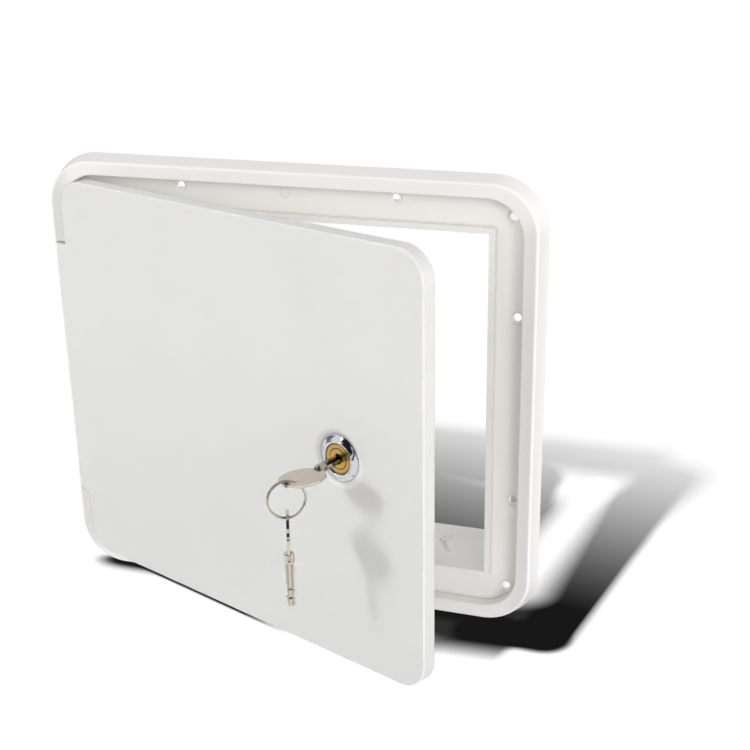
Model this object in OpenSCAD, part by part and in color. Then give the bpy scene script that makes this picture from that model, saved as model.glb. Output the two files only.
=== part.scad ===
// Power cord hatch of a caravan: a moulded frame, a hinged door with a key lock, two keys on a ring.
// X runs right, Z up and Y into the wall. The origin is the centre of the opening, on the wall's face.

/* [Frame] */
// width of the flange from the opening to its outer edge, all round
margin = 28.3; // [27:0.1:40]
// outer corner radius of the flange
corner_r = 27.5; // [22:0.5:40]
// height of the rim in front of the wall
rim_h = 9.6; // [8.5:0.1:14]
// how far the rim's outer side leans in over its height
rim_lean = 3.2; // [0:0.1:5]
// width from the flange edge to the rim's inner wall
rim_w = 10.35; // [9.5:0.05:16]
// radius of the rim's rounded outer shoulder
shoulder_r = 2; // [0.5:0.1:3]
// corner radius of the recess inside the rim
recess_r = 19; // [17:0.5:24]
// thickness of the recess floor
floor_t = 1.9; // [1.5:0.1:3]
// wall thickness of the hollow rim
rim_wall = 2.2; // [1.6:0.1:3]

/* [Opening] */
// clear width of the opening
open_w = 213.4; // [160:0.2:260]
// clear height of the opening
open_h = 183.4; // [130:0.2:240]
// wall thickness of the lip and the sleeve
lip_t = 2.8; // [2:0.1:4]
// height of the sealing lip in front of the wall
lip_h = 5.1; // [4:0.1:6]
// depth of the sleeve behind the wall's face
sleeve_d = 43.4; // [30:0.2:70]

/* [Screw holes] */
// diameter of each mounting hole
screw_d = 4.2; // [3.5:0.1:5.5]
// diameter of the countersink
sink_d = 7; // [6:0.1:8]
// distance of the corner holes from the flange's side edges
corner_in_x = 17; // [16:0.1:20]
// distance of the corner holes from the flange's top and bottom edges
corner_in_z = 20; // [17:0.1:22]
// distance of the top and bottom holes from the flange's edge
top_in = 14.5; // [14.5:0.1:17]
// distance of the top and bottom holes from the middle, sideways
top_hole_x = 58.5; // [30:0.5:90]
// distance of the side holes from the flange's edge
side_in = 14.3; // [14.3:0.1:17]
// distance of the side holes from the middle, upwards
side_hole_z = 49.5; // [25:0.5:70]
// diameter of the shallow marks where two more screws could go
mark_d = 6.2; // [3:0.1:7]

/* [Door] */
// gap between the door and the rim's inner wall
door_gap = 1.8; // [1:0.1:3]
// corner radius of the door
door_r = 15.5; // [12:0.5:22]
// depth of the door's visible edge
door_edge = 7.5; // [6:0.1:8.5]
// height of the door's face in front of the wall when closed
door_front = 10.3; // [9.5:0.1:14]
// wall thickness of the door
door_wall = 2.5; // [2:0.1:3.5]
// angle to which the door stands open
open_angle = 21.7; // [0:0.1:110]

/* [Hinge] */
// distance of the hinge line from the flange's edge
hinge_in = 6.4; // [5.8:0.1:8]
// height of the hinge line in front of the wall
hinge_h = 6; // [5.5:0.1:7]
// half length of the gap in the rim for the hinge
hinge_half = 73; // [40:1:85]
// diameter of the hinge pin
pin_d = 2.4; // [1.6:0.1:3]

/* [Lock] */
// distance of the lock from the door's free edge
lock_in = 49.9; // [35:0.1:70]
// height of the lock above the middle
lock_z = 1.1; // [-30:0.1:30]
// outer diameter of the chrome bezel
bezel_d = 22.8; // [20:0.2:26]
// diameter of the brass face inside the bezel
face_d = 15; // [13.5:0.1:16]
// diameter of the turning plug
plug_d = 9.8; // [8.8:0.1:10]
// how far the brass face stands out from the door
face_out = 1.6; // [1:0.1:2]
// length of the lock behind the door's face
lock_len = 25; // [22:0.5:32]
// reach of the cam from the lock's axis
cam_reach = 33; // [26:0.1:33.4]

/* [Keys] */
// length of the key's oval head
head_len = 20.3; // [17:0.1:24]
// width of the key's head
head_w = 22.8; // [17.5:0.1:27]
// thickness of the head
head_t = 1.4; // [1:0.1:1.8]
// diameter of the hole in the head
key_hole_d = 5.4; // [5:0.1:6.4]
// distance of that hole's centre from the head's far edge
key_hole_in = 4.4; // [4:0.1:5]
// length of the collar between head and shank
collar_len = 6.8; // [5:0.1:9]
// diameter of the collar
collar_d = 5; // [4.8:0.1:6]
// length of the cross-shaped shank
shank_len = 21.5; // [16:0.5:26]
// width of the shank across its fins
shank_w = 4.2; // [3.4:0.1:4.6]
// outer diameter of the split ring
ring_d = 18.6; // [17:0.2:22]
// radial thickness of the split ring
ring_t = 1.2; // [1:0.1:1.3]
// width of the split ring's two turns
ring_w = 2; // [1.6:0.1:2.2]
// how far the key and the plug are turned from level
key_roll = 9; // [0:1:20]
// how far the key droops in its slot
key_droop = 2.2; // [0:0.1:2.5]

/* [Hidden] */
$fn = 64;
e = 0.01;
pin_clear = 0.06;
plug_clear = 0.05;
keyway_clear = 0.4;
fin_t = 1.3;
seat_clear = 0.1;
seal_clear = 0.3;
tab_gap = 0.7;
frame_w = open_w + 2 * margin;
frame_h = open_h + 2 * margin;
corner_hole_x = frame_w / 2 - corner_in_x;
corner_hole_z = frame_h / 2 - corner_in_z;
top_hole_z = frame_h / 2 - top_in;
side_hole_x = frame_w / 2 - side_in;
lean_a = atan(rim_lean / rim_h);
hinge_x = hinge_in - frame_w / 2;
hinge_y = -hinge_h;
knuckle_r = door_front - hinge_h;
trough_r = knuckle_r + 0.5;
pin_r = pin_d / 2;
pin_hold = 9;
edge_in = rim_w + door_gap;
door_w = frame_w - 2 * edge_in;
door_h = frame_h - 2 * edge_in;
door_y = -door_front;
lock_x = door_w / 2 - lock_in;
barrel_r = 9.3;
barrel_flat = 8.2;
nut_t = 3.2;
nut_d = 27;
washer_t = 0.8;
washer_r = 13;
boss_r = 16;
boss_h = 1.5;
cam_t = 2.4;
cam_w = 14;
cam_gap = 0.5;
key_root = 9.6;
keyway_depth = key_root + 0.6;
plug_back = -(lock_len + cam_gap + cam_t + 0.6);
seal_w = 6.2;
seal_mid_w = open_w + lip_t;
seal_mid_h = open_h + lip_t;
inner_y = door_y + door_wall;
head_mid = collar_len - 0.7 + head_len / 2;
hole_mid = head_mid + head_len / 2 - key_hole_in;
// the key droops about a point this far behind the door's face
droop_at = 5;
// height and distance from the door of the centre of the key's hole
hole_up = -(key_root + hole_mid + droop_at) * sin(key_droop);
hole_out = (key_root + hole_mid + droop_at) * cos(key_droop) - droop_at;
// the ring's middle circle, the direction of its plane, its lean, and where its top lies
ring_mid = (ring_d - ring_t) / 2;
ring_side = 55.5;
ring_lean = 5.2;
ring_back = 3.6;
bridge_lift = 0.5;
ring_up = hole_up + head_t / 2 + bridge_lift;
// height of the ring's lowest point below its top
ring_low = 2 * ring_mid * cos(ring_lean);
hang_gap = 0.25;
// the spare key hangs turned this far from square to the ring
spare_turn = 11;

// the piece to show, or all of them

// points of an arc, from angle a to angle b
function arc(cx, cy, r, a, b, n) =
    [for (i = [0:n]) [cx + r * cos(a + (b - a) * i / n), cy + r * sin(a + (b - a) * i / n)]];

// a slab with rounded corners whose side follows a profile of [inset, height] points
module slab(w, h, r, prof) {
    n = len(prof);
    z0 = prof[0][1];
    z1 = prof[n - 1][1];
    right = [for (p = prof) [w / 2 - p[0], p[1]]];
    left = [for (i = [n - 1:-1:0]) [prof[i][0] - w / 2, prof[i][1]]];
    top = [for (p = prof) [h / 2 - p[0], p[1]]];
    bottom = [for (i = [n - 1:-1:0]) [prof[i][0] - h / 2, prof[i][1]]];
    quarter = concat([[0, z0]], [for (p = prof) [r - p[0], p[1]]], [[0, z1]]);
    rotate([90, 0, 0])
        linear_extrude(height = h - 2 * r, center = true)
            polygon(concat(right, left));
    rotate([90, 0, 90])
        linear_extrude(height = w - 2 * r, center = true)
            polygon(concat(top, bottom));
    for (q = [[1, 1, 0], [-1, 1, 90], [-1, -1, 180], [1, -1, 270]])
        translate([q[0] * (w / 2 - r), q[1] * (h / 2 - r), 0])
            rotate([0, 0, q[2]])
                rotate_extrude(angle = 90)
                    polygon(quarter);
}

// a rectangle with round corners
module round_rect(w, h, r) {
    square([w - 2 * r, h], center = true);
    square([w, h - 2 * r], center = true);
    for (sx = [-1, 1])
        for (sy = [-1, 1])
            translate([sx * (w / 2 - r), sy * (h / 2 - r)])
                circle(r);
}

// a straight block with round corners from height a to height b
module block(w, h, r, a, b) {
    translate([0, 0, a])
        linear_extrude(height = b - a)
            round_rect(w, h, r);
}

// turns the local height axis to face out of the wall
module facing() {
    rotate([90, 0, 0])
        children();
}

// places what belongs to the door, drawn closed, at the open angle
module on_door() {
    translate([hinge_x, hinge_y, 0])
        rotate([0, 0, -open_angle])
            translate([-hinge_x, -hinge_y, 0])
                children();
}

// a frame with its origin on the door's face at the lock, height axis outward
module at_lock() {
    on_door()
        translate([lock_x, door_y, lock_z])
            facing()
                children();
}

// the same, turned with the key, which droops a little; the origin is at the root of the shank
module at_key() {
    at_lock()
        translate([0, 0, -droop_at])
            rotate([key_droop, 0, 0])
                rotate([0, 0, key_roll])
                    translate([0, 0, droop_at + key_root])
                        children();
}

// outer side of the rim: leaning, with a rounded shoulder
function rim_side() =
    concat([[0, 0]],
        arc(rim_lean * (rim_h - shoulder_r) / rim_h + shoulder_r / cos(lean_a),
            rim_h - shoulder_r, shoulder_r, 180 - lean_a, 90, 5));

// the recess cut from the front, with a small round at its edge
function recess_side() =
    concat([[0, floor_t]],
        [for (p = arc(-0.8, rim_h - 0.8, 0.8, 0, 90, 3)) p],
        [[-0.8, rim_h + 1]]);

module rim_channel() {
    d = rim_h - rim_wall;
    intersection() {
        difference() {
            slab(frame_w, frame_h, corner_r, [[rim_wall, -1], [rim_wall, 0],
                [rim_wall + rim_lean * d / rim_h + 0.4, d]]);
            block(frame_w - 2 * (rim_w - rim_wall), frame_h - 2 * (rim_w - rim_wall),
                recess_r + rim_wall, -2, rim_h);
            for (x = [-0.3, -0.1, 0.1, 0.3])
                translate([x * frame_w - 0.8, -frame_h, -2])
                    cube([1.6, 2 * frame_h, rim_h + 2]);
            for (z = [-0.19, 0, 0.19])
                translate([0, z * frame_h - 0.8, -2])
                    cube([frame_w, 1.6, rim_h + 2]);
            translate([-frame_w, -hinge_half - 11, -2])
                cube([frame_w, 2 * hinge_half + 22, rim_h + 2]);
        }
        translate([0, 0, rim_h / 2 - 1])
            cube([frame_w + 2, frame_h + 2, rim_h + 2], center = true);
    }
}

module screw_hole(x, z) {
    translate([x, z, 0])
        rotate_extrude()
            polygon([[0, -1], [screw_d / 2, -1], [screw_d / 2, floor_t - 1.1],
                [sink_d / 2, floor_t - 0.3], [sink_d / 2, floor_t + 1], [0, floor_t + 1]]);
}

module frame() {
    color("#E4E3DE")
        facing()
            difference() {
                union() {
                    difference() {
                        slab(frame_w, frame_h, corner_r, rim_side());
                        slab(frame_w - 2 * rim_w, frame_h - 2 * rim_w, recess_r, recess_side());
                    }
                    block(open_w + 2 * lip_t, open_h + 2 * lip_t, 1.5, -sleeve_d, lip_h);
                    translate([open_w / 2 - 4, -20, -14])
                        cube([4 + lip_t / 2, 40, 3]);
                }
                difference() {
                    block(open_w, open_h, 0.5, -sleeve_d - 1, lip_h + 1);
                    translate([open_w / 2 - 4, -20, -14])
                        cube([4 + lip_t / 2, 40, 3]);
                }
                rim_channel();
                translate([-frame_w / 2 - 1, -hinge_half, floor_t])
                    cube([rim_w + 2, 2 * hinge_half, rim_h]);
                translate([hinge_x, 0, hinge_h])
                    rotate([90, 0, 0])
                        cylinder(r = trough_r, h = 2 * hinge_half, center = true);
                translate([hinge_x, 0, hinge_h])
                    rotate([90, 0, 0])
                        cylinder(r = pin_r, h = 2 * (hinge_half + pin_hold), center = true);
                for (sx = [-1, 1])
                    for (sz = [-1, 1]) {
                        screw_hole(sx * corner_hole_x, sz * corner_hole_z);
                        screw_hole(sx * top_hole_x, sz * top_hole_z);
                        screw_hole(sx * side_hole_x, sz * side_hole_z);
                    }
                for (sz = [-1, 1])
                    translate([0, sz * top_hole_z, floor_t - 0.3])
                        cylinder(d = mark_d, h = 2);
            }
}

module hinge_pin() {
    color("#A9ABAC")
        translate([hinge_x, hinge_y, 0])
            cylinder(r = pin_r, h = 2 * (hinge_half + pin_hold), center = true);
}

function door_side() =
    concat([[0, door_front - door_edge], [0.15, door_front - door_edge + 0.4]],
        [for (p = arc(1.5, door_front - 1.1, 1.1, 180, 90, 4)) p]);

module door_panel() {
    half = hinge_half - tab_gap;
    color("#E1E1DF")
        on_door()
            facing()
                difference() {
                    union() {
                        difference() {
                            slab(door_w, door_h, door_r, door_side());
                            block(door_w - 2 * door_wall, door_h - 2 * door_wall,
                                door_r - door_wall, 0, door_front - door_wall);
                        }
                        // hinge tab and knuckle
                        translate([hinge_x, -half, door_front - door_wall])
                            cube([edge_in - hinge_in + 4, 2 * half, door_wall]);
                        translate([hinge_x, 0, hinge_h])
                            rotate([90, 0, 0])
                                cylinder(r = knuckle_r, h = 2 * half, center = true);
                        // channel that holds the seal
                        difference() {
                            block(seal_mid_w + seal_w + 3, seal_mid_h + seal_w + 3, 5,
                                door_front - door_wall - 1.6, door_front - 1);
                            block(seal_mid_w + seal_w, seal_mid_h + seal_w, 4, 0, door_front - door_wall);
                        }
                        difference() {
                            block(seal_mid_w - seal_w, seal_mid_h - seal_w, 3,
                                door_front - door_wall - 2.6, door_front - 1);
                            block(seal_mid_w - seal_w - 3, seal_mid_h - seal_w - 3, 2, 0, door_front - door_wall);
                        }
                        // stiffening ribs
                        for (x = [-0.25, 0.04])
                            translate([x * door_w - 0.8, -seal_mid_h / 2 + 4, door_front - door_wall - 2.6])
                                cube([1.6, seal_mid_h - 8, 3]);
                        for (z = [-0.23, 0.23])
                            translate([-seal_mid_w / 2 + 4, z * door_h - 0.8, door_front - door_wall - 2.6])
                                cube([seal_mid_w - 8, 1.6, 3]);
                        translate([lock_x, lock_z, door_front - door_wall - boss_h])
                            cylinder(r = boss_r, h = boss_h + 0.5);
                    }
                    translate([hinge_x, 0, hinge_h])
                        rotate([90, 0, 0])
                            cylinder(r = pin_r + pin_clear, h = 2 * hinge_half, center = true);
                    translate([lock_x, lock_z, 0])
                        intersection() {
                            cylinder(r = barrel_r + seat_clear, h = 3 * door_front, center = true);
                            cube([2 * (barrel_flat + seat_clear), 4 * barrel_r, 4 * door_front], center = true);
                        }
                }
}

module door_seal() {
    color("#3A3A38")
        on_door()
            facing()
                difference() {
                    block(seal_mid_w + seal_w, seal_mid_h + seal_w, 4,
                        lip_h + seal_clear, door_front - door_wall);
                    block(seal_mid_w - seal_w, seal_mid_h - seal_w, 3, 0, door_front);
                }
}

module lock_bezel() {
    br = bezel_d / 2;
    fr = face_d / 2;
    color("#D8DADB")
        at_lock()
            rotate_extrude()
                polygon([[fr, 0], [br - 0.2, 0], [br, 0.12], [br, 0.28], [br - 0.3, 0.56], [br - 1, 0.86],
                    [fr + 2.2, face_out - 0.3], [fr + 1.7, face_out + 0.12], [fr + 1.35, face_out + 0.4],
                    [fr + 0.85, face_out + 0.52], [fr + 0.4, face_out + 0.4], [fr + 0.18, face_out + 0.1],
                    [fr + 0.1, face_out - 0.4], [fr, face_out - 0.4]]);
}

module lock_barrel() {
    color("#C4A052")
        at_lock()
            difference() {
                union() {
                    translate([0, 0, -1])
                        cylinder(r = face_d / 2, h = face_out + 1);
                    intersection() {
                        translate([0, 0, -lock_len])
                            cylinder(r = barrel_r, h = lock_len);
                        cube([2 * barrel_flat, 4 * barrel_r, 4 * lock_len], center = true);
                    }
                }
                cylinder(r = plug_d / 2 + plug_clear, h = 4 * lock_len, center = true);
            }
}

module lock_washer() {
    color("#B9BBBC")
        at_lock()
            translate([0, 0, -door_wall - boss_h - washer_t])
                difference() {
                    cylinder(r = washer_r, h = washer_t);
                    intersection() {
                        cylinder(r = barrel_r + seat_clear, h = 10 * washer_t, center = true);
                        cube([2 * (barrel_flat + seat_clear), 4 * barrel_r, 20 * washer_t], center = true);
                    }
                }
}

module lock_nut() {
    color("#B9BBBC")
        at_lock()
            translate([0, 0, -door_wall - boss_h - washer_t - nut_t])
                difference() {
                    cylinder(d = nut_d, h = nut_t, $fn = 6);
                    cylinder(r = barrel_r + seat_clear / 2, h = 4 * nut_t, center = true);
                }
}

module shank_cross(w, t, a, b) {
    translate([-w / 2, -t / 2, a])
        cube([w, t, b - a]);
    translate([-t / 2, -w / 2, a])
        cube([t, w, b - a]);
}

module lock_plug() {
    color("#C9A657")
        at_lock()
            rotate([0, 0, key_roll])
                difference() {
                    union() {
                        translate([0, 0, -lock_len])
                            cylinder(d = plug_d, h = lock_len + face_out);
                        translate([-3, -3, -lock_len - cam_gap - cam_t])
                            cube([6, 6, cam_gap + cam_t + 1]);
                    }
                    shank_cross(shank_w + 2 * keyway_clear, fin_t + 2 * keyway_clear,
                        key_root - shank_len - 0.8, 5);
                    translate([0, 0, -lock_len - 5])
                        cylinder(r = 1.5, h = 12);
                }
}

module lock_cam() {
    color("#B9BBBC")
        at_lock()
            rotate([0, 0, key_roll])
                translate([0, 0, -lock_len - cam_gap - cam_t])
                    difference() {
                        union() {
                            cylinder(d = cam_w, h = cam_t);
                            translate([-cam_w / 2, -cam_reach + 3, 0])
                                cube([cam_w, cam_reach - 3, cam_t]);
                            translate([-cam_w / 2 + 3, -cam_reach, 0])
                                cube([cam_w - 6, 6, cam_t]);
                            for (s = [-1, 1])
                                translate([s * (cam_w / 2 - 3), -cam_reach + 3, 0])
                                    cylinder(r = 3, h = cam_t);
                        }
                        translate([-3 - seat_clear / 2, -3 - seat_clear / 2, -1])
                            cube([6 + seat_clear, 6 + seat_clear, cam_t + 2]);
                    }
}

module cam_screw() {
    color("#9EA0A1")
        at_lock()
            translate([0, 0, -lock_len - cam_gap - cam_t]) {
                translate([0, 0, -2])
                    cylinder(d = 8, h = 2);
                cylinder(r = 1.46, h = 7.5);
            }
}

module key_plate() {
    difference() {
        union() {
            for (s = [-1, 1])
                translate([s * (head_w - head_len) / 2, head_t / 2, head_mid])
                    rotate([90, 0, 0])
                        cylinder(d = head_len, h = head_t);
            translate([-(head_w - head_len) / 2, -head_t / 2, head_mid - head_len / 2])
                cube([head_w - head_len, head_t, head_len]);
            translate([-2, -head_t / 2, 2.4])
                cube([4, head_t, head_mid - 2.4]);
        }
        translate([0, 5, hole_mid])
            rotate([90, 0, 0])
                cylinder(d = key_hole_d, h = 10);
    }
}

// cuts in the blade: the fin's direction, distance from the tip, length and depth
blade_cuts = [[0, 3.6, 1.4, 0.7], [0, 7, 1.2, 0.7], [0, 10.6, 1, 0.7], [180, 4.7, 2.7, 0.9], [180, 9.4, 1.2, 0.6],
    [90, -1, 4.4, 0.9], [90, 5.2, 2.4, 0.9], [90, 7.6, 4.4, 0.6], [270, 4.2, 2.1, 0.5], [270, 8.4, 1.3, 0.6]];

// the collar, round at both ends, and the shank with its four fins and its blunt tip
module key_blade() {
    r = collar_d / 2;
    tip = shank_w / 2 + 0.15;
    difference() {
        union() {
            rotate_extrude()
                polygon(concat([[0, 0]], arc(r - 2.1, 2.1, 2.1, -90, 0, 6),
                    arc(r - 1.7, collar_len - 1.7, 1.7, 0, 90, 5), [[0, collar_len]]));
            intersection() {
                shank_cross(shank_w, fin_t, -shank_len, 1);
                rotate_extrude()
                    polygon([[0, -shank_len], [0.7, -shank_len], [tip - 0.6, 0.6 - shank_len],
                        [tip, 1.9 - shank_len], [tip, 1], [0, 1]]);
            }
        }
        translate([-r - 1, -head_t / 2, 2.4])
            cube([2 * r + 2, head_t, collar_len]);
        for (q = blade_cuts)
            rotate([0, 0, q[0]])
                translate([shank_w / 2 - q[3], -2, q[1] - shank_len])
                    cube([q[3] + 1, 4, q[2]]);
    }
}

module key_head() {
    color("#C9CACB")
        at_key()
            key_plate();
}

module key_shank() {
    color("#BFC0C1")
        at_key()
            key_blade();
}

// a frame at the middle of the wire at the ring's top: x along the ring's plane, z up
module at_ring() {
    at_lock()
        translate([0, ring_up, hole_out])
            rotate([-90, 0, 0])
                rotate([0, 0, ring_side])
                    translate([-ring_back, 0, 0])
                        children();
}

// two turns of round wire side by side
module split_ring() {
    color("#C2C3C4")
        at_ring()
            rotate([-ring_lean, 0, 0])
                translate([0, 0, -ring_mid])
                    rotate([90, 0, 0])
                        rotate_extrude()
                            for (s = [-1, 1])
                                translate([ring_mid, s * (ring_w - ring_t) / 2])
                                    circle(d = ring_t);
}

// the spare key hangs by its hole from the ring's lowest point
module at_spare() {
    at_ring()
        translate([0, -2 * ring_mid * sin(ring_lean), -ring_low])
            rotate([0, 0, 90 - spare_turn])
                translate([0, 0, ring_t / 2 + hang_gap - key_hole_d / 2 - hole_mid])
                    children();
}

module spare_key_head() {
    color("#C9CACB")
        at_spare()
            key_plate();
}

module spare_key_shank() {
    color("#BFC0C1")
        at_spare()
            key_blade();
}

frame();
hinge_pin();
door_panel();
door_seal();
lock_bezel();
lock_barrel();
lock_washer();
lock_nut();
lock_plug();
lock_cam();
cam_screw();
key_head();
key_shank();
split_ring();
spare_key_head();
spare_key_shank();
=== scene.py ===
import math
import bmesh
import bpy
import numpy as np
from mathutils import Matrix, Vector


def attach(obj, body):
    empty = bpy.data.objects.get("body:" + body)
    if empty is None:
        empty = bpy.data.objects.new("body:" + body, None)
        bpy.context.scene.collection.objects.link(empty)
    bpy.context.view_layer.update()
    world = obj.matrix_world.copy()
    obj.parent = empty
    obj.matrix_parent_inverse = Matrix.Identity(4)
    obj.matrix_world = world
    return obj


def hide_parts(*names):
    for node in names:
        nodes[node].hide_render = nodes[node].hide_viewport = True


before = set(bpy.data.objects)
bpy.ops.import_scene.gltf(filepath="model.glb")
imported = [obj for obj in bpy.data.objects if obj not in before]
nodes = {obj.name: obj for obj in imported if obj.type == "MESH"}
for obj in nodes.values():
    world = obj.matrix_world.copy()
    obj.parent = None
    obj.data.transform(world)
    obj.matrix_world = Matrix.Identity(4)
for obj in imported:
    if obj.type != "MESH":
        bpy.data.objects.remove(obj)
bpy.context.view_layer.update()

mm = 0.001
print("frame loaded", sorted(nodes))


def linear(hexCode):  # sRGB hex to the linear colour that the nodes want
    parts = [int(hexCode[i:i + 2], 16) / 255 for i in (1, 3, 5)]
    parts = [c / 12.92 if c <= 0.04045 else ((c + 0.055) / 1.055) ** 2.4 for c in parts]
    return (*parts, 1.0)


cameraSet = {  # fitted to the photograph's straight edges
    "place": (0.260533, -0.622245, 0.25198),
    "yaw": 0.334, "pitch": 0.37, "roll": -0.016,  # radians, the yaw to the left, the pitch down
    "wide": 750, "focal": 1347.291, "centre": (373.492, 401.219),  # pixels
    "film": 36,  # mm
    "clip": (0.01, 60),
}


def makeCamera(s):
    # up is at right angles to the level right and to the way ahead, and both roll about that way
    cy, sy = math.cos(s["yaw"]), math.sin(s["yaw"])
    cp, sp = math.cos(s["pitch"]), math.sin(s["pitch"])
    cr, sr = math.cos(s["roll"]), math.sin(s["roll"])
    ahead = np.array([-sy * cp, cy * cp, -sp])
    right = np.array([cy, sy, 0.0])
    up = np.cross(right, ahead)
    right, up = cr * right + sr * up, -sr * right + cr * up
    data = bpy.data.cameras.new("camera")
    data.sensor_width = s["film"]
    data.lens = s["focal"] / s["wide"] * s["film"]
    data.shift_x = (s["wide"] / 2 - s["centre"][0]) / s["wide"]
    data.shift_y = (s["centre"][1] - s["wide"] / 2) / s["wide"]
    data.clip_start, data.clip_end = s["clip"]
    cam = bpy.data.objects.new("camera", data)
    rows = [(right[i], up[i], -ahead[i], s["place"][i]) for i in range(3)]
    cam.matrix_world = Matrix(rows + [(0, 0, 0, 1)])
    bpy.context.collection.objects.link(cam)
    bpy.context.scene.camera = cam


makeCamera(cameraSet)


def addNode(tree, kind, links=None, **settings):
    # one node: settings are its values or its inputs, links are input: socket;
    # an input goes by its name, or by i and its number
    node = tree.nodes.new(kind)
    for setting, value in settings.items():
        name = setting.replace("_", " ")
        if hasattr(node, setting):
            setattr(node, setting, value)
        elif name in node.inputs:
            node.inputs[name].default_value = value
        else:
            node.inputs[int(setting[1:])].default_value = value
    for name, socket in (links or {}).items():
        numbered = name[0] == "i" and name[1:].isdigit()
        tree.links.new(socket, node.inputs[int(name[1:]) if numbered else name])
    return node


def newMaterial(name):
    mat = bpy.data.materials.new(name)
    mat.use_nodes = True
    mat.node_tree.nodes.clear()
    return mat, mat.node_tree


def finishMaterial(tree, shader):
    addNode(tree, "ShaderNodeOutputMaterial", {"Surface": shader.outputs[0]})


lockSet = {
    "origin": (0.057077, -0.084518, 0.0011),  # on the door's face, at the lock's axis
    "open": 21.7,  # degrees that the door stands open at rest
}


def lockSpace(tree):  # Object coordinates turned to the lock: x right, y into the door, z up
    place = addNode(tree, "ShaderNodeTexCoord")
    return addNode(tree, "ShaderNodeMapping", {"Vector": place.outputs["Object"]},
                   vector_type="TEXTURE", Location=lockSet["origin"],
                   Rotation=(0, 0, math.radians(-lockSet["open"]))).outputs["Vector"]


def spot(tree, vector, at, sizes, full):
    # full within the first size of the place, 0 beyond the second, smooth between; in mm
    away = addNode(tree, "ShaderNodeVectorMath", {"i0": vector}, operation="DISTANCE",
                   i1=tuple(v * mm for v in at))
    return addNode(tree, "ShaderNodeMapRange", {"Value": away.outputs["Value"]},
                   interpolation_type="SMOOTHSTEP", From_Min=sizes[0] * mm,
                   From_Max=sizes[1] * mm, To_Min=full, To_Max=0.0).outputs["Result"]


def stroke(tree, vector, a, b, wide):
    # 1 on the line from a to b and 0 at wide from it, by the distance to the line's nearest
    # point; in mm
    a, b = Vector(a) * mm, Vector(b) * mm
    fromA = addNode(tree, "ShaderNodeVectorMath", {"i0": vector}, operation="SUBTRACT", i1=a)
    along = addNode(tree, "ShaderNodeVectorMath", {"i0": fromA.outputs[0]},
                    operation="DOT_PRODUCT", i1=(b - a) / (b - a).length_squared)
    part = addNode(tree, "ShaderNodeClamp", {"Value": along.outputs["Value"]})
    foot = addNode(tree, "ShaderNodeVectorMath", {"Scale": part.outputs[0]}, operation="SCALE",
                   i0=b - a)
    away = addNode(tree, "ShaderNodeVectorMath", {"i0": fromA.outputs[0], "i1": foot.outputs[0]},
                   operation="DISTANCE")
    return addNode(tree, "ShaderNodeMapRange", {"Value": away.outputs["Value"]},
                   interpolation_type="SMOOTHSTEP", From_Min=0.0, From_Max=wide * mm,
                   To_Min=1.0, To_Max=0.0).outputs["Result"]


def cavity(tree, reach, seen):
    # 1 in corners that see no more than the first share of what is round them, as between the
    # fins of a key, and 0 where they see the second share or more; the reach in mm
    shade = addNode(tree, "ShaderNodeAmbientOcclusion", samples=6, Distance=reach * mm)
    return addNode(tree, "ShaderNodeMapRange", {"Value": shade.outputs["AO"]}, From_Min=seen[0],
                   From_Max=seen[1], To_Min=1.0, To_Max=0.0).outputs["Result"]


absSet = {  # what both mouldings share
    "cloud": 45 * mm,  # size of the faint patches that the flow leaves
    "ramp": (0.3, 0.7),  # where the patches are darkest and lightest
    "grain": 0.9 * mm,  # spark-eroded mould grain, drawn coarser than the real 0.2 mm
    "rough": (0.36, 0.5),
    "relief": (0.05, 0.1 * mm),  # strength and height of the grain
    "edge": 0.35 * mm,  # how far round an edge is
    "shine": ((0.2, 0.6), 0.85, "#FFFFFF"),  # painted highlight on the rounded edges, where they catch the light: sizes in mm, share
    "ior": 1.53,
}
frameAbsSet = {
    "name": "moulded white ABS, frame", "light": "#F6F3F0", "dark": "#F4F1EE",
    "atLock": False,
    "shineAt": -9.05,  # y of the rounded edges, mm
    "marks": [  # ejector pins: x and z, inner and outer radius, depth, mm
        ((-42.0, 100.4), (0.45, 0.8), 0.12),
        ((116.4, 82.6), (1.15, 1.5), 0.12),
        ((116.3, -83.7), (0.85, 1.2), 0.12),
    ],
    "paintedShadeAndLight": [  # painted shade on the greyer left and right rims, painted light on the sleeve bottom: line, width, mm
        ((-131, -8, 112), (-131, -8, -112), 15, "#D8D6D4"),
        ((131, -8, 90), (131, -8, -112), 15, "#E6E4E2"),
        ((-104, 22, -91.7), (104, 22, -91.7), 34, "#FFFFFF"),
    ],
    "stain": [  # rusty drops on the sleeve: line and width in mm, colour, strength
        ((74.3, 24.8, -91.7), (82.6, 11.8, -91.7), 1.9, "#A4765A", 0.55),
        ((75.0, 24.0, -91.7), (76.2, 30.6, -91.7), 1.9, "#DDB95A", 0.6),
        ((77.8, 22.2, -91.7), (79.2, 30.8, -91.7), 2.0, "#D9B452", 0.6),
        ((76.4, 23.0, -91.7), (79.2, 18.5, -91.7), 1.8, "#8A4F33", 0.45),
    ],
    "blot": (1.6 * mm, (0.3, 0.65)),  # what breaks the stain up: size, the noise's none and full
    "corners": (1.6, (0.5, 0.93), "#E0DAD4"),  # dust and painted shade in the corners: reach, shares seen, colour
}
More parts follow.
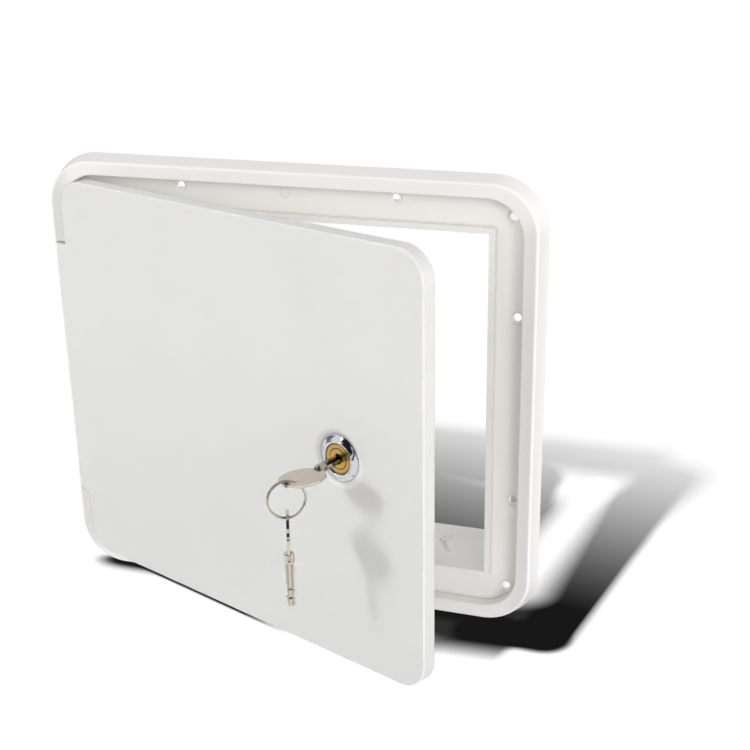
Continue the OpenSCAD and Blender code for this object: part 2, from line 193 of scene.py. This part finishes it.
doorAbsSet = {
    "name": "moulded white ABS, door", "light": "#EBEAE7", "dark": "#E9E8E5",
    "atLock": True,  # the marks, the painted highlight and shade round the bezel and the painted edge highlight are placed from the lock
    "shineAt": 0.5,
    "marks": [  # a boss that shows through, then the panel pulled in round the lock
        ((-79.5, -28.4), (6.5, 8.0), 0.03),
        ((0, 0), (10.0, 27.0), 0.35),
        ((0, 0), (11.0, 15.8), 0.3),
    ],
    "shadeDownwards": (50 * mm, -90 * mm, "#E0E0DC"),  # painted shade: the door greys towards the bottom, from and to height
    "bezelLightAndShade": [  # painted highlight and painted shade round the bezel: place, inner and outer radius, colour, share
        ((0.4, -2.3), (12.6, 14.0), "#FFFFFF", 0.75),
        ((-1.9, 0.4), (12.2, 14.4), "#B4B3B2", 0.5),
        ((-0.55, 0.25), (11.45, 12.9), "#6E6C6A", 0.6),
    ],
}


def mouldedAbs(s):
    # white ABS, injection moulded: an even satin white with soft edges, a faint cloudiness and
    # sink marks, with painted shade and painted highlights laid over it
    mat, t = newMaterial(s["name"])
    place = addNode(t, "ShaderNodeTexCoord").outputs["Object"]
    space = lockSpace(t) if s["atLock"] else place
    flat, inward = [addNode(t, "ShaderNodeVectorMath", {"i0": space}, operation="MULTIPLY",
                            i1=ways).outputs[0] for ways in ((1, 0, 1), (0, 1, 0))]
    cloud = addNode(t, "ShaderNodeTexNoise", {"Vector": place}, Scale=1 / absSet["cloud"],
                    Detail=2.0, Roughness=0.4)
    colour = addNode(t, "ShaderNodeValToRGB", {"Fac": cloud.outputs["Fac"]})
    tones = zip(colour.color_ramp.elements, absSet["ramp"], (s["dark"], s["light"]))
    for stop, position, tone in tones:
        stop.position, stop.color = position, linear(tone)
    out = colour.outputs["Color"]

    layers = []  # how much of each colour goes over the last
    # painted shade, darker towards the bottom
    if "shadeDownwards" in s:
        top, low, tint = s["shadeDownwards"]
        height = addNode(t, "ShaderNodeSeparateXYZ", {"Vector": place}).outputs["Z"]
        down = addNode(t, "ShaderNodeMapRange", {"Value": height}, From_Min=top, From_Max=low)
        layers.append((down.outputs["Result"], tint))
    # painted highlight and painted shade round the bezel
    for (x, z), sizes, tint, share in s.get("bezelLightAndShade", ()):
        layers.append((spot(t, flat, (x, 0, z), sizes, share), tint))
    # painted shade and painted light along lines
    for a, b, wide, tint in s.get("paintedShadeAndLight", ()):
        layers.append((stroke(t, place, a, b, wide), tint))
    if "stain" in s:
        size, (none, full) = s["blot"]
        blot = addNode(t, "ShaderNodeTexNoise", {"Vector": place}, Scale=1 / size, Detail=4.0,
                       Roughness=0.65)
        broken = addNode(t, "ShaderNodeMapRange", {"Value": blot.outputs["Fac"]},
                         From_Min=none, From_Max=full)
        for a, b, wide, tint, strength in s["stain"]:
            part = addNode(t, "ShaderNodeMath", {"i0": stroke(t, place, a, b, wide),
                                                 "i1": broken.outputs["Result"]},
                           operation="MULTIPLY")
            part = addNode(t, "ShaderNodeMath", {"i0": part.outputs[0]}, operation="MULTIPLY",
                           i1=strength)
            layers.append((part.outputs[0], tint))
    # painted shade in the corners, with dust
    if "corners" in s:
        reach, seen, tint = s["corners"]
        layers.append((cavity(t, reach, seen), tint))
    # painted highlight along the rounded front edges
    sizes, share, tint = absSet["shine"]
    layers.append((spot(t, inward, (0, s["shineAt"], 0), sizes, share), tint))
    for factor, tint in layers:
        out = addNode(t, "ShaderNodeMix", {"Factor": factor, "i6": out}, data_type="RGBA",
                      i7=linear(tint)).outputs[2]

    grain = addNode(t, "ShaderNodeTexNoise", {"Vector": place}, Scale=1 / absSet["grain"],
                    Detail=3.0, Roughness=0.6).outputs["Fac"]
    rough = addNode(t, "ShaderNodeMapRange", {"Value": grain}, To_Min=absSet["rough"][0],
                    To_Max=absSet["rough"][1])
    normal = addNode(t, "ShaderNodeBevel", samples=4, Radius=absSet["edge"]).outputs["Normal"]
    for (x, z), sizes, deep in s["marks"]:  # pressed in, so the height is below 0
        height = spot(t, flat, (x, 0, z), sizes, -1.0)
        normal = addNode(t, "ShaderNodeBump", {"Height": height, "Normal": normal},
                         Distance=deep * mm).outputs["Normal"]
    normal = addNode(t, "ShaderNodeBump", {"Height": grain, "Normal": normal},
                     Strength=absSet["relief"][0], Distance=absSet["relief"][1]).outputs["Normal"]
    finishMaterial(t, addNode(t, "ShaderNodeBsdfPrincipled", {
        "Base Color": out, "Roughness": rough.outputs["Result"], "Normal": normal,
    }, IOR=absSet["ior"]))
    return mat


metalSet = {  # what the metals have where their own settings don't say it
    "patch": 0.6 * mm,  # size of a mark of handling
    "finer": (1, 1, 1),  # how many times finer the marks are each way
    "relief": (0.02, 0.05 * mm),  # strength and height
    "edge": 0.15 * mm,  # how far round an edge is
    "hollowShade": (1.6, (0.3, 0.9), "#2E2721"),  # painted shade in corners and hollows: reach in mm, shares seen, colour
}
chromeSet = {  # a cold clear mirror
    "name": "chrome plate", "dark": "#C9CBCF", "light": "#D2D4D8", "rough": (0.03, 0.07),
    "patch": 1.5 * mm,
}
ringNickelSet = {  # a warm mirror, greyed by use
    "name": "nickel-plated wire", "dark": "#ABA69E", "light": "#BDB8B0", "rough": (0.05, 0.1),
}
nickelSet = {  # bright and warm, a little softened
    "name": "tumbled nickel plate", "dark": "#C6BDAF", "light": "#D6CDC1", "rough": (0.07, 0.15),
    "finer": (1, 1, 3), "relief": (0.05, 0.05 * mm),
}
bladeNickelSet = {  # greyer, its hollows painted near black as shade
    "name": "milled nickel silver", "dark": "#AEA79C", "light": "#C8C2B8", "rough": (0.08, 0.16),
    "finer": (1, 1, 3), "relief": (0.05, 0.05 * mm), "hollowShade": (2.2, (0.45, 0.98), "#2E2721"),
}
zincSet = {  # a cool satin grey
    "name": "zinc-plated steel", "dark": "#AEB1B4", "light": "#C6C8C9", "rough": (0.25, 0.4),
    "patch": 0.8 * mm, "relief": (0.06, 0.05 * mm),
}
brassSet = {
    "name": "turned brass", "dark": "#AF8B4C", "light": "#CBA968", "rough": (0.2, 0.34),
    "ring": 0.25 * mm,  # from one fine ring to the next
    "relief": (0.15, 0.03 * mm), "edge": 0.12 * mm, "hollowShade": (1.5, (0.3, 0.9), "#33200A"),
}


def finishMetal(tree, pattern, s):
    # the pattern, from 0 to 1, gives colour and gloss a small change and the skin a faint relief;
    # the hollows get painted shade
    colour = addNode(tree, "ShaderNodeMix", {"Factor": pattern}, data_type="RGBA",
                     i6=linear(s["dark"]), i7=linear(s["light"]))
    # painted shade in the hollows
    reach, seen, tint = s["hollowShade"]
    paintedShade = addNode(tree, "ShaderNodeMix", {"Factor": cavity(tree, reach, seen),
                                             "i6": colour.outputs[2]},
                     data_type="RGBA", i7=linear(tint))
    gloss = addNode(tree, "ShaderNodeMapRange", {"Value": pattern}, To_Min=s["rough"][0],
                    To_Max=s["rough"][1])
    soft = addNode(tree, "ShaderNodeBevel", samples=4, Radius=s["edge"])
    bump = addNode(tree, "ShaderNodeBump", {"Height": pattern, "Normal": soft.outputs["Normal"]},
                   Strength=s["relief"][0], Distance=s["relief"][1])
    finishMaterial(tree, addNode(tree, "ShaderNodeBsdfPrincipled", {
        "Base Color": paintedShade.outputs[2], "Roughness": gloss.outputs["Result"],
        "Normal": bump.outputs["Normal"],
    }, Metallic=1.0))


def bareMetal(s):
    # plated or machined metal: colour and gloss change a little where handling has dulled it
    s = {**metalSet, **s}
    mat, t = newMaterial(s["name"])
    place = addNode(t, "ShaderNodeTexCoord").outputs["Object"]
    scaled = addNode(t, "ShaderNodeMapping", {"Vector": place}, Scale=s["finer"])
    fine = addNode(t, "ShaderNodeTexNoise", {"Vector": scaled.outputs["Vector"]},
                   Scale=1 / s["patch"], Detail=4.0)
    finishMetal(t, fine.outputs["Fac"], s)
    return mat


def turnedBrass(s):
    # brass turned on a lathe: a dull gold whose fine rings spread the light round the lock's
    # axis, by noise of the distance from it
    mat, t = newMaterial(s["name"])
    at = addNode(t, "ShaderNodeSeparateXYZ", {"Vector": lockSpace(t)})
    flat = addNode(t, "ShaderNodeCombineXYZ", {"X": at.outputs["X"], "Y": at.outputs["Z"]})
    away = addNode(t, "ShaderNodeVectorMath", {"Vector": flat.outputs["Vector"]},
                   operation="LENGTH")
    rings = addNode(t, "ShaderNodeTexNoise", {"W": away.outputs["Value"]},
                    noise_dimensions="1D", Scale=1 / s["ring"], Detail=2.0)
    finishMetal(t, rings.outputs["Fac"], s)
    return mat


foamSet = {
    "cell": 0.7 * mm,  # drawn coarser than the real 0.5 mm
    "dark": "#2B2B2A", "light": "#3B3B39", "rough": 0.85, "ior": 1.5,
    "relief": (0.4, 0.2 * mm),  # strength and height
}


def foamRubber(s):
    # closed-cell foam strip: matt black with a pebbled skin
    mat, t = newMaterial("foam rubber seal")
    place = addNode(t, "ShaderNodeTexCoord").outputs["Object"]
    cells = addNode(t, "ShaderNodeTexVoronoi", {"Vector": place}, Scale=1 / s["cell"])
    colour = addNode(t, "ShaderNodeMix", {"Factor": cells.outputs["Distance"]},
                     data_type="RGBA", i6=linear(s["dark"]), i7=linear(s["light"]))
    bump = addNode(t, "ShaderNodeBump", {"Height": cells.outputs["Distance"]},
                   Strength=s["relief"][0], Distance=s["relief"][1])
    finishMaterial(t, addNode(t, "ShaderNodeBsdfPrincipled", {
        "Base Color": colour.outputs[2], "Normal": bump.outputs["Normal"],
    }, Roughness=s["rough"], IOR=s["ior"]))
    return mat


finishes = {
    "frameAbs": mouldedAbs(frameAbsSet),
    "doorAbs": mouldedAbs(doorAbsSet),
    "chrome": bareMetal(chromeSet),
    "ringNickel": bareMetal(ringNickelSet),
    "nickel": bareMetal(nickelSet),
    "bladeNickel": bareMetal(bladeNickelSet),
    "zinc": bareMetal(zincSet),
    "brass": turnedBrass(brassSet),
    "foam": foamRubber(foamSet),
}
dressed = {
    "frame": "frameAbs", "door_panel": "doorAbs", "door_seal": "foam", "hinge_pin": "zinc",
    "lock_bezel": "chrome", "lock_barrel": "brass", "lock_plug": "brass", "lock_washer": "zinc",
    "lock_nut": "zinc", "lock_cam": "zinc", "cam_screw": "zinc", "key_head": "nickel",
    "key_shank": "bladeNickel", "split_ring": "ringNickel", "spare_key_head": "nickel",
    "spare_key_shank": "nickel",
}
for nodeName, finish in dressed.items():
    mesh = nodes[nodeName].data
    mesh.materials.clear()
    mesh.materials.append(finishes[finish])
print("materials set")


def lockPoints(p):  # millimetres at the lock (right, up, out of the door) to the shared frame
    turn = math.radians(lockSet["open"])
    axes = np.array([(math.cos(turn), -math.sin(turn), 0), (0, 0, 1),
                     (-math.sin(turn), -math.cos(turn), 0)])
    return np.asarray(p) * mm @ axes + np.array(lockSet["origin"])


def newPiece(name, points, closed, finish, body, replaced, sharp):
    # the points are a grid at the lock: each row is a loop, and quads join it to the next row,
    # and the last row to the first if it is closed; an edge looks sharp from that many degrees
    rows, cols = points.shape[:2]
    i, j = np.meshgrid(np.arange(rows if closed else rows - 1), np.arange(cols), indexing="ij")
    i2, j2 = (i + 1) % rows, (j + 1) % cols
    quads = np.stack([i * cols + j, i * cols + j2, i2 * cols + j2, i2 * cols + j], axis=-1)
    mesh = bpy.data.meshes.new(name)
    mesh.from_pydata(lockPoints(points).reshape(-1, 3).tolist(), [],
                     quads.reshape(-1, 4).tolist())
    work = bmesh.new()
    work.from_mesh(mesh)
    bmesh.ops.remove_doubles(work, verts=work.verts, dist=1e-7)
    bmesh.ops.recalc_face_normals(work, faces=work.faces)
    work.to_mesh(mesh)
    work.free()
    mesh.shade_smooth()
    mesh.set_sharp_from_angle(angle=math.radians(sharp))
    mesh.materials.append(finishes[finish])
    obj = bpy.data.objects.new(name, mesh)
    bpy.context.collection.objects.link(obj)
    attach(obj, body)
    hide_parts(*replaced)


def revolve(profile, steps):
    # each profile point (radius, height) goes round the lock's axis by an angle a, to
    # x = radius cos a, y = radius sin a, z = height
    r, h = np.array(profile, float).T
    a = np.linspace(0, 2 * np.pi, steps, endpoint=False)
    return np.stack([np.outer(r, np.cos(a)), np.outer(r, np.sin(a)),
                     np.outer(h, np.ones(steps))], axis=-1)


def easeCurve(points, cuts):
    # a smooth path through the points, cut finely: from b to c it is the Catmull-Rom cubic of
    # the four points a, b, c and d, and the end points are doubled
    p = np.array([points[0], *points, points[-1]], float)
    t = np.linspace(0, 1, cuts, endpoint=False)[:, None]
    parts = [0.5 * (2 * b + (c - a) * t + (2 * a - 5 * b + 4 * c - d) * t ** 2
                    + (3 * b - a - 3 * c + d) * t ** 3)
             for a, b, c, d in zip(p, p[1:], p[2:], p[3:])]
    return np.vstack(parts + [p[-1:]])


def smooth(t):  # eases from 0 to 1: 3 t squared less 2 t cubed
    return t * t * (3 - 2 * t)


bezelSet = {
    # radius and height in mm: a thin outer edge, a dished cone and a rounded ring, then a wall
    # down beside the brass and the seat on the door
    "crown": [(11.4, 0.28), (11.1, 0.56), (10.4, 0.86), (9.7, 1.3), (9.2, 1.72), (8.85, 2.0),
              (8.35, 2.12), (7.9, 2.0), (7.68, 1.7)],
    "foot": [(7.62, 1.2), (7.6, 0.0), (11.2, 0.0), (11.4, 0.12)],
    "cuts": 5, "steps": 160, "sharp": 50,
}


def makeBezel(s):
    # the profile turned about the lock's axis
    profile = np.vstack([easeCurve(s["crown"], s["cuts"]), np.array(s["foot"])])
    newPiece("turnedBezel", revolve(profile, s["steps"]), True, "chrome", "door",
             ["lock_bezel"], s["sharp"])


makeBezel(bezelSet)

barrelSet = {  # mm
    "bore": 4.95, "face": 7.5, "out": 1.6,  # radius of the bore and the face, the face's height
    "mouth": (0.4, 0.5), "corner": (0.25, 0.35),  # chamfers, across and down
    "groove": (6.75, 6.95, 0.08),  # radii of its edges, depth
    "neck": -0.4, "start": -0.9,  # heights where the face's wall ends and the thread begins
    "radius": 9.3, "flat": 8.2, "long": 25, "pitch": 1.0, "deep": 0.5,
    "rows": 8, "steps": 112,  # rows to each turn of the thread
    "sharp": 30,
}


def makeBarrel(s):
    # a turned tube: bore, chamfer, face with a fine groove, then a screw thread whose radius is
    # R - deep * triangle wave of (height / pitch - angle / whole turn), cut by two flats at
    # x = +-flat
    top, bore, face = s["out"], s["bore"], s["face"]
    inner, outer, fine = s["groove"]
    rim = [(bore, -s["long"]), (bore, top - s["mouth"][1]), (bore + s["mouth"][0], top),
           (inner, top), ((inner + outer) / 2, top - fine), (outer, top),
           (face - s["corner"][0], top), (face, top - s["corner"][1]), (face, s["neck"]),
           (s["radius"] - s["deep"], s["neck"])]
    h = -np.arange(-s["start"], s["long"], s["pitch"] / s["rows"])[:, None]
    a = np.linspace(0, 2 * np.pi, s["steps"], endpoint=False)[None, :]
    wave = np.abs(2 * np.mod(h / s["pitch"] - a / (2 * np.pi), 1.0) - 1)
    r = s["radius"] - s["deep"] * wave
    thread = np.stack([r * np.cos(a), r * np.sin(a), h * np.ones_like(a)], axis=-1)
    points = np.concatenate([revolve(rim, s["steps"]), thread])
    points[..., 0] = np.clip(points[..., 0], -s["flat"], s["flat"])
    newPiece("threadedBarrel", points, True, "brass", "door", ["lock_barrel"],
             s["sharp"])


makeBarrel(barrelSet)

ringSet = {  # mm
    "top": (-2.039, -0.205, 34.54),  # middle of the wire over the key's bridge
    "side": 55.5, "lean": 5.2,  # degrees
    "mean": 8.7,  # radius of the ring
    "wire": (0.5, 0.43), "layer": 0.44,  # the wire's half sizes, across and along the axis
    "square": 0.8,  # the wire's section: 1 is an oval, less is flatter
    "crossing": 0.45, "crossAt": 2.5,  # radians; where the wire steps over to the second turn
    "steps": 260, "round": 18, "sharp": 60,
}


def makeRing(s):
    # two turns of flattened wire: the path goes twice round the circle, and its offset along the
    # axis goes from -layer to +layer by a smooth step where the wire crosses over; the ends
    # close to a rounded tip
    az, lean = math.radians(s["side"]), math.radians(s["lean"])
    across = np.array([math.cos(az), 0, -math.sin(az)])
    up = (np.array([0, 1, 0]) * math.cos(lean)
          + np.array([-math.sin(az), 0, -math.cos(az)]) * math.sin(lean))
    axis = np.cross(across, up)
    centre = np.array(s["top"]) - s["mean"] * up
    w = s["crossing"]
    phi = np.linspace(w, 4 * np.pi - w, s["steps"])
    shift = s["layer"] * (2 * smooth(np.clip((phi - 2 * np.pi + w) / (2 * w), 0, 1)) - 1)
    end = np.minimum(phi - phi[0], phi[-1] - phi) * s["mean"] / s["wire"][0]
    small = np.sqrt(np.clip(1 - (1 - np.clip(end, 0, 1)) ** 2, 0, 1))
    at = phi + s["crossAt"]
    out = np.cos(at)[:, None] * up + np.sin(at)[:, None] * across
    q = np.linspace(0, 2 * np.pi, s["round"], endpoint=False)
    rx, rz = [half * np.sign(wave) * np.abs(wave) ** s["square"]
              for half, wave in zip(s["wire"], (np.cos(q), np.sin(q)))]
    points = (centre + out[:, None, :] * (s["mean"] + small[:, None] * rx[None, :])[..., None]
              + axis * (shift[:, None] + small[:, None] * rz[None, :])[..., None])
    newPiece("splitRing", points, False, "ringNickel", "ring", ["split_ring"],
             s["sharp"])


makeRing(ringSet)

camScrewSet = {  # mm
    "seat": -27.9, "radius": 4.0, "high": 2.0,  # under side of the head, from the door's face
    "dome": 0.3, "rim": 0.6,  # shares of the height: how far it falls outwards, the rim
    "slot": (0.55, 2.3), "deep": 1.2,  # cross recess: half width and reach of an arm
    "wall": (0.2, 0.5),  # how wide the recess's sloping walls are, beside and at the end
    "shank": (1.46, 7.4),  # radius and length
    "gap": 0.02,  # from the head's last ring to the rim
    "rings": 34, "steps": 96, "sharp": 35,
}


def makeCamScrew(s):
    # pan head: height = high * (1 - dome * (r / radius)^4), less the cross recess, whose walls
    # are smooth steps in |x| and |y|; the rim drops to the seat, and a shank goes on into the plug
    seat, high, (shank, long) = s["seat"], s["high"], s["shank"]
    r, a = np.meshgrid(np.linspace(0, s["radius"] - s["gap"], s["rings"]),
                       np.linspace(0, 2 * np.pi, s["steps"], endpoint=False), indexing="ij")
    x, y = np.abs(r * np.cos(a)), np.abs(r * np.sin(a))

    def arm(across, along):
        (half, reach), (beside, end) = s["slot"], s["wall"]
        return smooth(np.clip((half + beside / 2 - across) / beside, 0, 1)
                      * np.clip((reach - along) / end, 0, 1))

    rise = (high * (1 - s["dome"] * (r / s["radius"]) ** 4)
            - s["deep"] * np.maximum(arm(x, y), arm(y, x)))
    top = np.stack([r * np.cos(a), r * np.sin(a), seat - rise], axis=-1)
    side = revolve([(s["radius"], seat - s["rim"] * high), (s["radius"], seat), (shank, seat),
                    (shank, seat + long), (0, seat + long)], s["steps"])
    newPiece("crossScrew", np.concatenate([top, side]), False, "zinc", "lock_core",
             ["cam_screw"], s["sharp"])


makeCamScrew(camScrewSet)
print("lock, ring and screw made")

lightSet = {
    "world": 0.494,
    "lamps": {  # soft and far away: where, how wide in degrees, how strong, on what if not all
        "keyLight": {"at": (-0.881, -0.726, 0.57), "wide": 9, "power": 0.3},
        "lockLight": {"at": (-0.881, -0.726, 0.57), "wide": 13, "power": 0.6, "lights": "door"},
        "frontLight": {"at": (0.15, -0.853, 0.5), "wide": 40, "power": 0.332,
                       "lights": "butDoor"},
        "rightLight": {"at": (0.66, -0.72, 0.2), "wide": 24, "power": 0.875,
                       "lights": "plastics"},
        "leftLight": {"at": (-0.757, -0.635, 0.15), "wide": 24, "power": 0.445,
                      "lights": "frame"},
        "backLight": {"at": (0.974, 0.172, 0.2), "wide": 30, "power": 0.91,
                      "lights": "plastics"},
        "floorLight": {"at": (-0.31, -0.97, 1.0), "wide": 4, "power": 155, "lights": "paper"},
    },
}


def softLamp(name, s):
    data = bpy.data.lights.new(name, "SUN")
    data.angle, data.energy = math.radians(s["wide"]), s["power"]
    lamp = bpy.data.objects.new(name, data)
    lamp.rotation_mode = "QUATERNION"
    lamp.rotation_quaternion = Vector(s["at"]).to_track_quat("Z", "Y")
    bpy.context.collection.objects.link(lamp)
    return lamp


lamps = {lampName: softLamp(lampName, s) for lampName, s in lightSet["lamps"].items()}


def lookRays(tree):
    # 1 for rays that look at the background, straight or by way of metal or glass, else 0
    path = addNode(tree, "ShaderNodeLightPath")
    first = addNode(tree, "ShaderNodeMath", {"i0": path.outputs["Is Camera Ray"],
                                             "i1": path.outputs["Is Glossy Ray"]},
                    operation="ADD")
    return addNode(tree, "ShaderNodeMath", {"i0": first.outputs[0],
                                            "i1": path.outputs["Is Transmission Ray"]},
                   operation="ADD", use_clamp=True).outputs[0]


def makeWorld(strength):
    # pure white to look at, and a dimmer room that lights the object
    world = bpy.data.worlds.new("studio")
    bpy.context.scene.world = world
    world.use_nodes = True
    t = world.node_tree
    t.nodes.clear()
    dim = addNode(t, "ShaderNodeBackground", Color=(1, 1, 1, 1), Strength=strength)
    white = addNode(t, "ShaderNodeBackground", Color=(1, 1, 1, 1), Strength=1.0)
    both = addNode(t, "ShaderNodeMixShader", {"i0": lookRays(t), "i1": dim.outputs[0],
                                              "i2": white.outputs[0]})
    addNode(t, "ShaderNodeOutputWorld", {"Surface": both.outputs[0]})


makeWorld(lightSet["world"])


def stageCard(name, at, half, facing, material):
    turn = Vector(facing).to_track_quat("Z", "Y").to_matrix()
    corners = [Vector(at) + turn @ Vector((x * half[0], y * half[1], 0))
               for x, y in ((-1, -1), (1, -1), (1, 1), (-1, 1))]
    card = bpy.data.meshes.new(name)
    card.from_pydata([tuple(c) for c in corners], [], [(0, 1, 2, 3)])
    card.materials.append(material)
    obj = bpy.data.objects.new(name, card)
    bpy.context.collection.objects.link(obj)
    return obj


floorSet = {
    "height": -120,  # mm; the flange stands on it
    "half": (30.0, 30.0),  # metres
    "fibre": (25 * mm, (0.99, 1.01)),  # size of the faint patches, their tones
    "shown": 0.0295,  # how pale the paper is to the eye or a mirror: its strong lamp makes it
    # white, and its shade stays near black
    "least": 0.009,  # how pale the deepest shadow is
    "bounce": 0.62,  # what the paper sends back to the object
    "contactShade": (11 * mm, (0.45, 0.85)),  # painted contact shadow, darker close to the object: reach, shares seen
    "way": (0.2, 0.98, 0),  # painted light: a white glow fades the shadow out backwards, this way
    "fade": ((30 * mm, 330 * mm), 0.85),  # from and to where, how far
    "paintedWhite": [  # painted light that whites out the cast shadow: lines on the floor and width in mm, what counts as full
        ((20, -74), (75, -78), 56, 0.6),
        ((98, -66), (230, -58), 38, 0.5),
        ((117, 34), (137, 185), 29, 0.9),
    ],
    "paintedShade": [  # painted shadow, the paper darkened along lines: lines and width in mm
        ((108, -19), (141, -14), 24),
        ((141, -14), (176, 203), 26),
        ((24, 196), (86, 185), 42),
        ((92, 178), (96, 125), 31),
    ],
    "shadeEdge": (0.2, 0.5),  # edge of the painted shadow, from lit to dark, as shares of a line's strength
}


def whitePaper(s):
    # a roll of matt white paper, so bright that only the shadow shows, soft and near black; the
    # cast shadow is widened with painted shadow and contact shadow and whited out in places with
    # painted light
    mat, t = newMaterial("white paper floor")
    place = addNode(t, "ShaderNodeTexCoord").outputs["Object"]
    look = lookRays(t)
    size, tones = s["fibre"]
    fibre = addNode(t, "ShaderNodeTexNoise", {"Vector": place}, Scale=1 / size)
    tone = addNode(t, "ShaderNodeMapRange", {"Value": fibre.outputs["Fac"]}, To_Min=tones[0],
                   To_Max=tones[1])
    # painted contact shadow close to the object
    reach, seen = s["contactShade"]
    near = addNode(t, "ShaderNodeAmbientOcclusion", samples=8, Distance=reach)
    contactShade = addNode(t, "ShaderNodeMapRange", {"Value": near.outputs["AO"]}, From_Min=seen[0],
                    From_Max=seen[1]).outputs["Result"]

    def floorStroke(a, b, wide):
        return stroke(t, place, (*a, s["height"]), (*b, s["height"]), wide)

    # painted shadow along the lines
    dark = [addNode(t, "ShaderNodeMapRange", {"Value": floorStroke(*line)},
                    From_Min=s["shadeEdge"][0], From_Max=s["shadeEdge"][1], To_Min=1.0,
                    To_Max=0.0).outputs["Result"] for line in s["paintedShade"]]
    for factor in (contactShade, look, *dark):
        tone = addNode(t, "ShaderNodeMath", {"i0": tone.outputs[0], "i1": factor},
                       operation="MULTIPLY")
    tone = addNode(t, "ShaderNodeMath", {"i0": tone.outputs[0]}, operation="MULTIPLY",
                   i1=s["shown"])
    sheet = addNode(t, "ShaderNodeBsdfDiffuse", {"Color": tone.outputs["Value"]})

    # painted light that fades the shadow backwards
    (start, stop), share = s["fade"]
    back = addNode(t, "ShaderNodeVectorMath", {"i0": place}, operation="DOT_PRODUCT",
                   i1=s["way"])
    fade = addNode(t, "ShaderNodeMapRange", {"Value": back.outputs["Value"]},
                   interpolation_type="SMOOTHSTEP", From_Min=start, From_Max=stop, To_Max=share)
    # painted light along the lines, whiting out the cast shadow
    for a, b, wide, full in s["paintedWhite"]:
        line = addNode(t, "ShaderNodeMapRange", {"Value": floorStroke(a, b, wide)},
                       From_Max=full)
        fade = addNode(t, "ShaderNodeMath", {"i0": fade.outputs[0],
                                             "i1": line.outputs["Result"]},
                       operation="MAXIMUM")
    for factor in (contactShade, look):
        fade = addNode(t, "ShaderNodeMath", {"i0": fade.outputs[0], "i1": factor},
                       operation="MULTIPLY")
    fade = addNode(t, "ShaderNodeMath", {"i0": fade.outputs[0]}, operation="MAXIMUM",
                   i1=s["least"])
    glow = addNode(t, "ShaderNodeEmission", Strength=1.0)
    shown = addNode(t, "ShaderNodeMixShader", {"i0": fade.outputs[0], "i1": sheet.outputs[0],
                                               "i2": glow.outputs[0]})
    bounce = addNode(t, "ShaderNodeMapRange", {"Value": look}, To_Min=s["bounce"], To_Max=0.0)
    under = addNode(t, "ShaderNodeEmission", {"Strength": bounce.outputs["Result"]})
    finishMaterial(t, addNode(t, "ShaderNodeAddShader", {"i0": shown.outputs[0],
                                                         "i1": under.outputs[0]}))
    return mat


floor = stageCard("floor", (0, 0, floorSet["height"] * mm), floorSet["half"], (0, 0, 1),
                  whitePaper(floorSet))
litBy = {
    "paper": [floor],
    "door": [nodes["door_panel"]],
    "frame": [floor, nodes["frame"], nodes["door_seal"]],
    "plastics": [floor, nodes["frame"], nodes["door_panel"], nodes["door_seal"]],
    "butDoor": [obj for obj in bpy.data.objects
                if obj.type == "MESH" and obj != nodes["door_panel"]],
}
for group, members in litBy.items():
    linked = bpy.data.collections.new(group)
    for member in members:
        linked.objects.link(member)
    for name, s in lightSet["lamps"].items():
        if s.get("lights") == group:
            lamps[name].light_linking.receiver_collection = linked

flagSet = {  # cards that only the metal sees: centre, half width and height, how bright it is
    "ceilingFlag": {"at": (0.2, -0.6, 2.2), "half": (1.6, 1.1), "tone": 0.02},
    "rightFlag": {"at": (1.0, -1.6, 1.1), "half": (0.3, 0.5), "tone": 0.02},
    "viewFlag": {"at": (0.55, -1.5, 0.52), "half": (0.26, 0.3), "tone": 0.02},
    "tableFlag": {"at": (0.33, -0.7, -0.08), "half": (0.25, 0.05), "tone": 0.02},
    "leftFlag": {"at": (-1.5, 0.25, 0.08), "half": (0.9, 0.33), "tone": 0.22},
    "lowFlag": {"at": (-0.25, -0.9, -0.03), "half": (0.6, 0.06), "tone": 0.02},
    "frontFlag": {"at": (-0.44, -1.43, 0.73), "half": (0.85, 0.62), "tone": 0.02},
}
for name, s in flagSet.items():
    flagMat, flagTree = newMaterial(name)
    finishMaterial(flagTree, addNode(flagTree, "ShaderNodeEmission", Strength=s["tone"]))
    flag = stageCard(name, s["at"], s["half"], tuple(-v for v in s["at"]), flagMat)
    flag.visible_camera = flag.visible_diffuse = flag.visible_shadow = False
print("light and floor set")

bpy.context.scene.view_settings.view_transform = "Standard"
